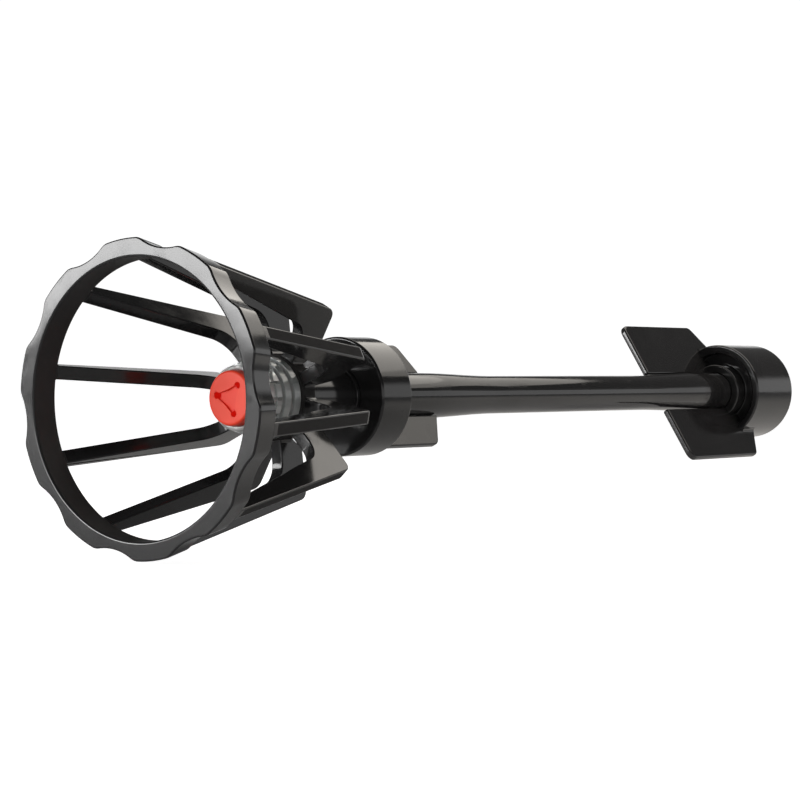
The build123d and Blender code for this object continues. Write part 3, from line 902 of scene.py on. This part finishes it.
# %% Ribs
web_front = 66
web_rear = 72.5
web_root = 13.9 * mm
half_rib = rib_thickness / 2
cage_parts = []
rib_outline = rounded([
    (rear_crest - 0.4 * mm, at(8), 0),
    (rear_crest, rim_rear, 0),
    (cage_rear_radius, at(cage_rear), 3.5 * mm),
    (17.4 * mm, at(cage_rear), 1.0 * mm),
    (web_root, at(web_rear), 0),
    (web_root, at(web_front), 0),
    (27.2 * mm, at(web_front), 8 * mm),
    (rim_inner, rim_rear, 0),
    (rim_inner + 1.0 * mm, at(8), 0),
], 8)
for n in range(rib_count):
    angle = first_rib + n * lobe_pitch
    cage_parts.append(flat("rib", rib_outline, rib_thickness, 0.5 * mm, angle))
    for outward, face, foot in sides(angle, half_rib):
        rim_corner = foot + along * rim_rear
        cage_parts.append(fillet_strip(
            "rim_fillet", rim_corner + outward * (rim_inner + 0.9 * mm),
            rim_corner + outward * (rear_crest - 0.7 * mm), face, along, 1.6 * mm,
        ))
        hub_corner = foot + outward * chord(hub_radius, half_rib)
        cage_parts.append(fillet_strip(
            "hub_fillet", hub_corner + along * at(66.4), hub_corner + along * at(71.6),
            face, outward, 1.2 * mm,
        ))

# %% [markdown]
# The hub is turned: a ring that the ribs stand on, a sleeve behind it with a bead near its end, and a
# spigot that goes into the front nut. The socket at its front takes the clear housing.

# %% Hub
ring_front = 65
ring_rear = 72
socket_radius = 8.6 * mm
socket_rear = 78
sleeve_radius = 10.3 * mm
bead_radius = 11.0 * mm
bead_front = 99.25
bead_rear = 100.85
spigot_radius = 10.48 * mm
spigot_rear = 110.05
waterway_radius = 6.0 * mm
hub = turned("hub", rounded([
    (socket_radius, at(ring_front), 0.2 * mm),
    (hub_radius, at(ring_front), 0.5 * mm),
    (hub_radius, at(ring_rear), 0.5 * mm),
    (sleeve_radius, at(ring_rear), 0.5 * mm),
    (sleeve_radius, at(bead_front), 0),
    (bead_radius, at(bead_front), 0.3 * mm),
    (bead_radius, at(bead_rear), 0.3 * mm),
    (spigot_radius, at(bead_rear), 0),
    (spigot_radius, at(spigot_rear), 0),
    (waterway_radius, at(spigot_rear), 0.3 * mm),
    (waterway_radius, at(socket_rear), 0),
    (socket_radius, at(socket_rear), 0),
], 3), 144)
cage_parts.append(hub)
cage = smooth(weld(rim, *cage_parts))
fit(cage, "lance", "black_moulding", black_moulding, "cage_rim", "cage_ribs", "cage_hub")

# %% [markdown]
# ## The tube
#
# The tube swells gently at both ends, where the nuts swivel on it. A moulded tube keeps a faint line
# where the two halves of the mould met; it is a few hundredths of a millimetre high and shows only as a
# fine break in the reflections.

# %% Tube
tube_thin = 7.05 * mm
tube_thick = 8.2 * mm


def swell(start, end, first, last, steps=14):
    """Points of a soft S-curve between two stations and two radii."""
    points = []
    for k in range(steps + 1):
        share = k / steps
        ease = share * share * (3 - 2 * share)
        points.append(Vector((first + (last - first) * ease, at(start + (end - start) * share))))
    return points


neck = 7.2 * mm
bore = 5.2 * mm
front_shoulder = 114.25
rear_shoulder = end_station - 21.1
tube_front = at(111.65)
tube_outline = [Vector((bore, tube_front)), Vector((neck, tube_front)), Vector((neck, at(front_shoulder)))]
tube_outline += [Vector((tube_thick, at(front_shoulder)))]
tube_outline += swell(150, 196, tube_thick, tube_thin)
tube_outline += swell(end_station - 100, end_station - 48, tube_thin, tube_thick)
tube_outline += [Vector((tube_thick, at(rear_shoulder))), Vector((neck, at(rear_shoulder)))]
tube_outline += [Vector((neck, at(rear_shoulder + 4))), Vector((bore, at(rear_shoulder + 4)))]
line_half_width = math.radians(1.6)


def parting_line(radius, y, angle):
    """Raises a faint line on both sides of the free part of the tube."""
    free = at(125) < y < before_end(90) and radius > 6 * mm
    off = abs((angle - math.radians(14) + math.pi / 2) % math.pi - math.pi / 2)
    if free and off < line_half_width:
        radius += 0.05 * mm * (1 - off / line_half_width)
    return radius, y


tube = smooth(turned("lance_tube_moulding", tube_outline, 360, parting_line), 30)
fit(tube, "lance", "black_tube", black_tube, "lance_tube")

# %% [markdown]
# ## The front nut
#
# This nut pulls the tube's flange against the cage's spigot. Two small ears behind it are there to grip.

# %% Front nut
nut_front = 101.0
nut_rear = 117.8
collar_radius = 20.7 * mm
swivel = 0.08 * mm
spigot_bore = 10.56 * mm
nut_lip = 2.6
ear_angle = math.radians(-60.5)
ear_thickness = 2.4 * mm
collar = turned("front_nut_moulding", rounded([
    (spigot_bore, at(nut_front), 0.4 * mm),
    (collar_radius, at(nut_front), 0.9 * mm),
    (collar_radius, at(nut_rear), 0.9 * mm),
    (tube_thick + swivel, at(nut_rear), 0.5 * mm),
    (tube_thick + swivel, at(nut_rear - nut_lip), 0),
    (spigot_bore, at(nut_rear - nut_lip), 0),
], 6), 240)
ear_root = tube_thick + 0.4 * mm
ear_tip = collar_radius - 0.5 * mm
ear_front = at(nut_rear - 1.3)
ear_outline = rounded([
    (ear_root, ear_front, 0),
    (ear_tip, ear_front, 0),
    (ear_tip, at(147.4), 3.5 * mm),
    (ear_root, at(154), 0.4 * mm),
], 8)
front_parts = []
for angle in (ear_angle, ear_angle + math.pi):
    front_parts.append(flat("ear", ear_outline, ear_thickness, 0.5 * mm, angle))
    for outward, face, foot in sides(angle, ear_thickness / 2):
        corner = foot + along * at(nut_rear)
        front_parts.append(fillet_strip(
            "ear_fillet", corner + outward * (ear_root + 0.7 * mm), corner + outward * (ear_tip - 1.0 * mm),
            face, along, 1.4 * mm,
        ))
front_nut = smooth(weld(collar, *front_parts))
fit(front_nut, "front_nut", "black_moulding", black_moulding, "front_wing_nut")

# %% [markdown]
# ## The hose nut
#
# The hose end has a real pipe thread: 14 turns to the inch, so a pitch of 1.814 mm. The rows of points
# inside the nut follow a wave that climbs one pitch per turn round the axis. The thread fades in at its
# mouth, as a tapped thread does.

# %% Hose nut
thread_crest = 12.06 * mm
thread_depth = 1.16 * mm
thread_pitch = 1.814 * mm
nut_radius = 20.2 * mm
thread_rows = 96
thread_start = before_end(0.8)
thread_stop = before_end(12.0)
thread_points = [
    Vector((thread_crest, thread_start + (thread_stop - thread_start) * k / thread_rows))
    for k in range(thread_rows + 1)
]
mouth_steps = 6
thread_mouth = 12.9 * mm
washer_seat = 12.7 * mm
swivel_shelf = 22.2
boss_radius = 11.7 * mm
recess_radius = 16.6 * mm
recess_depth = 4.5 * mm
nut_front_y = before_end(32.2)
boss_front_y = nut_front_y - 2.0 * mm
body_points = rounded([
    (thread_mouth, before_end(0), 0.25 * mm),
    (washer_seat, before_end(12.2), 0),
    (washer_seat, before_end(swivel_shelf), 0),
    (tube_thick + swivel, before_end(swivel_shelf), 0),
    (tube_thick + swivel, boss_front_y, 0.4 * mm),
    (boss_radius, boss_front_y, 0.8 * mm),
    (boss_radius, nut_front_y + recess_depth, 0.6 * mm),
    (recess_radius, nut_front_y + recess_depth, 0.6 * mm),
    (recess_radius, nut_front_y + 0.9 * mm, 0.3 * mm),
    (17.8 * mm, nut_front_y, 0.3 * mm),
    (nut_radius, nut_front_y, 0.9 * mm),
    (nut_radius, before_end(0), 1.6 * mm),
], mouth_steps)
mouth_points = mouth_steps + 1
nut_outline = body_points[:mouth_points] + thread_points + body_points[mouth_points:]


def threaded(radius, y, angle):
    """Cuts the helical thread outwards from its crest radius."""
    if abs(radius - thread_crest) > 1e-6 or not thread_stop <= y <= thread_start:
        return radius, y
    turn = ((thread_start - y) / thread_pitch + angle / (2 * math.pi)) % 1.0
    ridge = abs(2 * turn - 1)
    cut = min(max((ridge - 0.12) / 0.76, 0), 1)
    fade = min((thread_start - y) / (0.8 * thread_pitch), (y - thread_stop) / thread_pitch, 1)
    return radius + thread_depth * cut * max(fade, 0), y


wing_angle = math.radians(-57)
wing_thickness = 2.7 * mm
wing_root = tube_thick + 0.4 * mm
wing_tip = 32.3 * mm
wing_front = before_end(84)
wing_foot = before_end(25)
shell = turned("hose_nut_moulding", nut_outline, 240, threaded)
wing_outline = rounded([
    (wing_root, wing_front, 0.8 * mm),
    (wing_tip, wing_front, 3.5 * mm),
    (wing_tip, before_end(28.6), 3.5 * mm),
    (19.7 * mm, before_end(19.8), 0),
    (16.1 * mm, wing_foot, 0),
    (wing_root, wing_foot, 0),
], 8)
hose_parts = []
for angle in (wing_angle, wing_angle + math.pi):
    hose_parts.append(flat("wing", wing_outline, wing_thickness, 0.8 * mm, angle))
    for outward, face, foot in sides(angle, wing_thickness / 2):
        corner = foot + outward * chord(nut_radius, wing_thickness / 2)
        hose_parts.append(fillet_strip(
            "wing_fillet", corner + along * (nut_front_y + 1.1 * mm), corner + along * before_end(21.5),
            face, outward, 1.3 * mm,
        ))
hose_nut = smooth(weld(shell, *hose_parts))
fit(hose_nut, "rear_nut", "black_moulding", black_moulding, "rear_wing_nut")

# %% [markdown]
# ## The jet disc and its clear housing
#
# The red disc is a cup with three jets in a shallow three-sided recess. The clear housing round it has
# stepped bands, and fourteen slots that give the mould core a grip and break up the light.

# %% Jet disc
disc_radius = 9.1 * mm
disc_skirt = disc_radius - 1.3 * mm
disc_length = 11
face_thickness = 4
boss_length = 9
disc_boss = 3.2 * mm
shaft_radius = 1.5 * mm
shaft_blind = 3
on_axis = 0.0001 * mm
disc = turned("jet_disc", rounded([
    (on_axis, at(disc_front), 0),
    (disc_radius, at(disc_front), 1.0 * mm),
    (disc_radius, at(disc_front + disc_length), 0.3 * mm),
    (disc_skirt, at(disc_front + disc_length), 0.3 * mm),
    (disc_skirt, at(disc_front + face_thickness), 0.4 * mm),
    (disc_boss, at(disc_front + face_thickness), 0.4 * mm),
    (disc_boss, at(disc_front + boss_length), 0.2 * mm),
    (shaft_radius, at(disc_front + boss_length), 0),
    (shaft_radius, at(disc_front + shaft_blind), 0),
    (on_axis, at(disc_front + shaft_blind), 0),
], 6), 120)

# %% [markdown]
# The recess and the jets are cut out of the disc with straight prisms. The recess is a triangle with
# hollow sides, and there is a jet in each of its corners.

# %% Recess and jets
jet_pitch = 2 * math.pi / jet_count
jet_radius = 1.2 * mm
recess_corner = 6.3 * mm
recess_waist = 2.85 * mm


def prism(name, outline, low, high):
    """A straight prism along Y from (x, z) points."""
    return bar(name, [(x, low, z) for x, z in outline], [(x, high, z) for x, z in outline])


def cut(piece, *cutters):
    """Cuts closed shapes out of a piece."""
    for cutter in cutters:
        hollow = piece.modifiers.new("cut", "BOOLEAN")
        hollow.operation = "DIFFERENCE"
        hollow.solver = "EXACT"
        hollow.object = cutter
    keep_result(piece)
    for cutter in cutters:
        bpy.data.objects.remove(cutter)
    return piece


def hollow_triangle(corner, waist, steps=12):
    """Points of a three-cornered outline with hollow sides, between corner and waist radii."""
    points = []
    for n in range(jet_count):
        for k in range(steps):
            share = k / steps
            angle = first_jet + jet_pitch * (n + share)
            dip = math.sin(math.pi * share)
            straight = corner * 0.5 / math.cos(jet_pitch * (share - 0.5))
            radius = straight - (corner / 2 - waist) * dip * dip
            points.append((radius * math.cos(angle), radius * math.sin(angle)))
    return points


def circle(x, z, radius, steps=40):
    """Points of a circle in the plane across the axis."""
    turns = [2 * math.pi * k / steps for k in range(steps)]
    return [(x + radius * math.cos(t), z + radius * math.sin(t)) for t in turns]


before_face = at(disc_front - 1)
recess = prism("recess", hollow_triangle(recess_corner, recess_waist), before_face, at(disc_front + 0.9))
jets = []
for n in range(jet_count):
    outward = spokes(first_jet + jet_pitch * n)[0] * jet_circle
    ring = circle(outward.x, outward.z, jet_radius)
    jets.append(prism("jet", ring, before_face, at(disc_front + 6)))
disc = smooth(cut(disc, recess, *jets), 30)
fit(disc, "rotor", "red_plastic", red_plastic, "jet_rotor")

# %% [markdown]
# The housing widens in steps towards its base. Each band below says where it starts and ends, as a share
# of the length, and how much of the whole widening it has. The slots are cut through two of the bands.

# %% Clear housing
housing_front = 48.0
housing_length = 17.0
housing_mouth = 10.7
housing_widening = 3.2
housing_bore = 9.4 * mm
bore_rear = 57.3
tail_radius = 8.55 * mm
tail_bore = 7.0 * mm
tail_rear = 77
band_round = 0.22 * mm
bands = [
    (0.00, 0.20, 0.00), (0.20, 0.38, 0.30), (0.38, 0.54, 0.52), (0.54, 0.59, 0.30),
    (0.59, 0.76, 0.74), (0.76, 0.81, 0.55), (0.81, 1.00, 1.00),
]
corners = [(housing_bore, at(housing_front), 0.2 * mm)]
for start, end, share in bands:
    radius = (housing_mouth + housing_widening * share) * mm
    corners.append((radius, at(housing_front + housing_length * start), band_round))
    corners.append((radius, at(housing_front + housing_length * end), band_round))
corners += [
    (tail_radius, at(ring_front), 0),
    (tail_radius, at(tail_rear), 0.2 * mm),
    (tail_bore, at(tail_rear), 0.2 * mm),
    (tail_bore, at(bore_rear), 0.3 * mm),
    (housing_bore, at(bore_rear), 0.3 * mm),
]
housing = turned("clear_housing", rounded(corners, 3), 168)

# %% Slots of the clear housing
slot_count = 14
slot_low = at(housing_front + housing_length * bands[1][0]) + 0.05 * mm
slot_high = at(housing_front + housing_length * bands[2][1]) - 0.05 * mm
slot_floor = 10.6 * mm
past_wall = 14.6 * mm
half_slot = 0.55 * mm
section = (
    (slot_floor, -half_slot), (past_wall, -half_slot), (past_wall, half_slot), (slot_floor, half_slot),
)
slots = []
for n in range(slot_count):
    outward, sideways = spokes(-2 * math.pi * n / slot_count)
    square = [outward * r + sideways * w for r, w in section]
    slots.append(prism("slot", [(c.x, c.z) for c in square], slot_low, slot_high))
housing = smooth(cut(housing, *slots), 30)
fit(housing, "lance", "clear_plastic", clear_plastic, "nozzle_housing")
